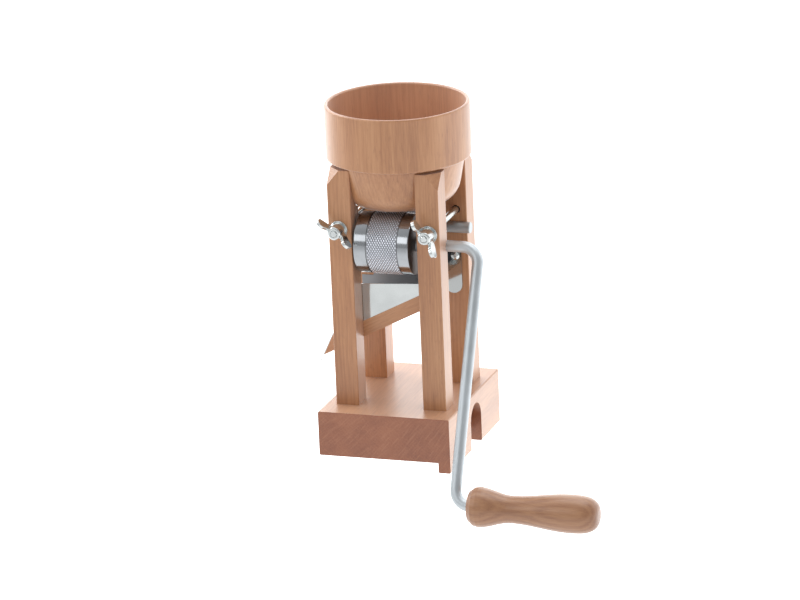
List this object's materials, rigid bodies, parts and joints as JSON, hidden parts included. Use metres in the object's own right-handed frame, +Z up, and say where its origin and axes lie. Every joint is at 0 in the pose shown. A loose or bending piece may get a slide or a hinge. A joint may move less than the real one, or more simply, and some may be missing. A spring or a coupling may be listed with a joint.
{
  "type": "grain flaker",
  "caption": "Hand-cranked grain flaker with a beech frame and turned hopper, knurled steel rollers, bent crank with a wooden grip, wing nuts and a sloping sheet-steel chute.",
  "frame": {"origin": "centre of the base block's underside, the face that lies on the table", "axes": "+Z up, +X towards the crank and the table's edge, +Y towards the back"},
  "size_m": [0.2803, 0.2119, 0.3398],
  "materials": {
    "beech": "oiled beech, satin",
    "roller_steel": "turned stainless steel with a knurled band",
    "rod_steel": "drawn steel rod, satin",
    "chute_sheet": "bright polished stainless sheet",
    "zinc_hardware": "bright zinc plate"
  },
  "bodies": {
    "frame": {"base_block": "beech", "leg_front_left": "beech", "leg_front_right": "beech", "leg_rear_left": "beech", "leg_rear_right": "beech", "leg_screws": "zinc_hardware", "tie_bolt_left": "zinc_hardware", "tie_bolt_right": "zinc_hardware", "chute": "chute_sheet", "chute_rail": "beech", "rail_screws": "zinc_hardware", "chute_screws": "zinc_hardware"},
    "hopper_bowl": {"hopper": "beech"},
    "crank": {"crank_rod": "rod_steel", "front_roller": "roller_steel", "front_roller_pin": "rod_steel", "front_spacers": "rod_steel", "grip_ring": "rod_steel"},
    "rear_roller_set": {"rear_roller": "roller_steel", "rear_axle": "rod_steel", "rear_roller_pin": "rod_steel", "rear_spacers": "rod_steel"},
    "grip_handle": {"grip": "beech"},
    "left_washer": {"washer_left": "zinc_hardware"},
    "right_washer": {"washer_right": "zinc_hardware"},
    "left_wing_nut": {"wing_nut_left": "zinc_hardware"},
    "right_wing_nut": {"wing_nut_right": "zinc_hardware"}
  },
  "joints": [
    {"name": "hopper_lift", "type": "slide", "parent": "frame", "child": "hopper_bowl", "axis": [0, 0, 1], "range_m": [0, 0.06]},
    {"name": "crank_spin", "type": "hinge", "parent": "frame", "child": "crank", "pos_m": [0, -0.0276, 0.184], "axis": [1, 0, 0], "continuous": true},
    {"name": "rear_roller_spin", "type": "hinge", "parent": "frame", "child": "rear_roller_set", "pos_m": [0, 0.0276, 0.184], "axis": [1, 0, 0], "continuous": true},
    {"name": "grip_spin", "type": "hinge", "parent": "crank", "child": "grip_handle", "pos_m": [0.15, -0.12241, -0.0184], "axis": [1, 0, 0], "continuous": true},
    {"name": "left_washer_slide", "type": "slide", "parent": "frame", "child": "left_washer", "axis": [0, -1, 0], "range_m": [0, 0.003]},
    {"name": "left_nut_turn", "type": "hinge", "parent": "left_washer", "child": "left_wing_nut", "pos_m": [-0.0408, -0.0507, 0.2], "axis": [0, -1, 0], "range_deg": [0, 1080]},
    {"name": "right_washer_slide", "type": "slide", "parent": "frame", "child": "right_washer", "axis": [0, -1, 0], "range_m": [0, 0.003]},
    {"name": "right_nut_turn", "type": "hinge", "parent": "right_washer", "child": "right_wing_nut", "pos_m": [0.0408, -0.0507, 0.2], "axis": [0, -1, 0], "range_deg": [0, 1080]}
  ],
  "couplings": [
    {"joint": "rear_roller_spin", "follows": "crank_spin", "ratio": -1},
    {"joint": "left_nut_turn", "follows": "left_washer_slide", "rad_per_m": 6283},
    {"joint": "right_nut_turn", "follows": "right_washer_slide", "rad_per_m": 6283}
  ]
}
